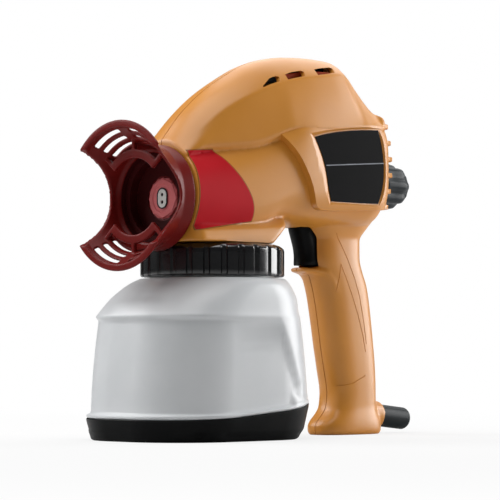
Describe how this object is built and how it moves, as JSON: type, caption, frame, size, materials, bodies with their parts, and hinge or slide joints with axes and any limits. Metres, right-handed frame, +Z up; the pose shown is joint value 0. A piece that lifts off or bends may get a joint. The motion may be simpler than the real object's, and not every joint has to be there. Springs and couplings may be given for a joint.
{
  "type": "airless paint sprayer",
  "caption": "Hand-held electric airless paint sprayer with a vibrating piston pump, slotted spray guard, rotating twin-orifice tip, screw-on paint container, trigger and rear flow knob.",
  "frame": {"origin": "on the floor under the container neck's axis, on the underside of the container foot", "axes": "+Z up, the nozzle sprays along -X, +Y is the user's right when holding the handle"},
  "size_m": [0.29, 0.1254, 0.2725],
  "materials": {
    "housing_tan": "satin moulded plastic",
    "guard_red": "satin moulded plastic",
    "black_plastic": "satin moulded plastic",
    "container_cloudy": "translucent blown plastic",
    "ivory_plastic": "smooth moulded plastic",
    "rubber": "matt rubber",
    "cast_metal": "die cast",
    "steel": "machined and plated",
    "copper": "enamelled wire"
  },
  "bodies": {
    "root": {"left_housing": "housing_tan", "right_housing": "housing_tan", "housing_screws": "steel", "pump_housing": "cast_metal", "lid_gasket": "rubber", "pump_cylinder": "steel", "outlet_valve_spring": "steel", "piston_spring": "steel", "return_tube": "ivory_plastic", "laminated_core": "steel", "coil_bobbin": "black_plastic", "coil_winding": "copper", "motor_frame": "steel", "rocker_pin": "steel", "trigger_pin": "steel", "trigger_spring": "steel", "switch_body": "black_plastic", "power_inlet": "black_plastic", "inlet_blades": "steel", "knob_bush": "black_plastic"},
    "spray_guard": {"spray_guard": "guard_red", "guard_sleeve": "guard_red", "tip_holder": "guard_red", "tip_insert": "ivory_plastic", "tip_seal": "rubber"},
    "ring_nut": {"ring_nut": "black_plastic"},
    "container": {"container": "container_cloudy", "container_foot": "black_plastic"},
    "trigger": {"trigger": "black_plastic"},
    "switch_plunger": {"switch_plunger": "ivory_plastic"},
    "control_knob": {"control_knob": "black_plastic"},
    "adjusting_rod": {"adjusting_rod": "steel"},
    "rocker": {"rocker": "steel", "armature": "steel"},
    "piston": {"piston": "steel"},
    "outlet_valve": {"outlet_valve": "steel"},
    "suction_tube": {"suction_tube": "ivory_plastic", "suction_filter": "black_plastic"}
  },
  "joints": [
    {"name": "guard_turn", "type": "hinge", "parent": "root", "child": "spray_guard", "pos_m": [-0.04, 0, 0.1645], "axis": [-1, 0, 0], "range_deg": [0, 90]},
    {"name": "container_travel", "type": "slide", "parent": "root", "child": "container", "axis": [0, 0, -1], "range_m": [0, 0.012]},
    {"name": "nut_turn", "type": "hinge", "parent": "root", "child": "ring_nut", "pos_m": [0, 0, 0.122], "axis": [0, 0, 1], "range_deg": [-5, 725]},
    {"name": "trigger_pull", "type": "hinge", "parent": "root", "child": "trigger", "pos_m": [0.0945, 0, 0.1576], "axis": [0, -1, 0], "range_deg": [0, 8], "stiffness_Nm_per_rad": 1.2, "springref_deg": -2.86, "deforming": ["trigger_spring"]},
    {"name": "plunger_slide", "type": "slide", "parent": "root", "child": "switch_plunger", "axis": [1, 0, 0], "range_m": [-0.0002, 0.0032]},
    {"name": "knob_turn", "type": "hinge", "parent": "root", "child": "control_knob", "pos_m": [0.16, 0, 0.1845], "axis": [1, 0, 0], "range_deg": [0, 270]},
    {"name": "rod_advance", "type": "slide", "parent": "root", "child": "adjusting_rod", "axis": [-1, 0, 0], "range_m": [-0.0001, 0.0016]},
    {"name": "rocker_swing", "type": "hinge", "parent": "root", "child": "rocker", "pos_m": [0.0536, 0, 0.204], "axis": [0, 1, 0], "range_deg": [0, 4.5], "stiffness_Nm_per_rad": 8, "springref_deg": -2.86},
    {"name": "piston_stroke", "type": "slide", "parent": "root", "child": "piston", "axis": [-1, 0, 0], "range_m": [-0.0002, 0.0033], "deforming": ["piston_spring"]},
    {"name": "outlet_valve_lift", "type": "slide", "parent": "root", "child": "outlet_valve", "axis": [-1, 0, 0], "range_m": [0, 0.001], "stiffness_N_per_m": 600, "springref_m": -0.002, "deforming": ["outlet_valve_spring"]},
    {"name": "suction_turn", "type": "hinge", "parent": "root", "child": "suction_tube", "pos_m": [-0.008, 0, 0.13], "axis": [0, 0, 1], "range_deg": [0, 180]}
  ],
  "couplings": [
    {"joint": "nut_turn", "follows": "container_travel", "rad_per_m": 1047.2},
    {"joint": "plunger_slide", "follows": "trigger_pull", "m_per_rad": 0.0211},
    {"joint": "rod_advance", "follows": "knob_turn", "m_per_rad": 0.0003183},
    {"joint": "piston_stroke", "follows": "rocker_swing", "m_per_rad": 0.0395}
  ]
}
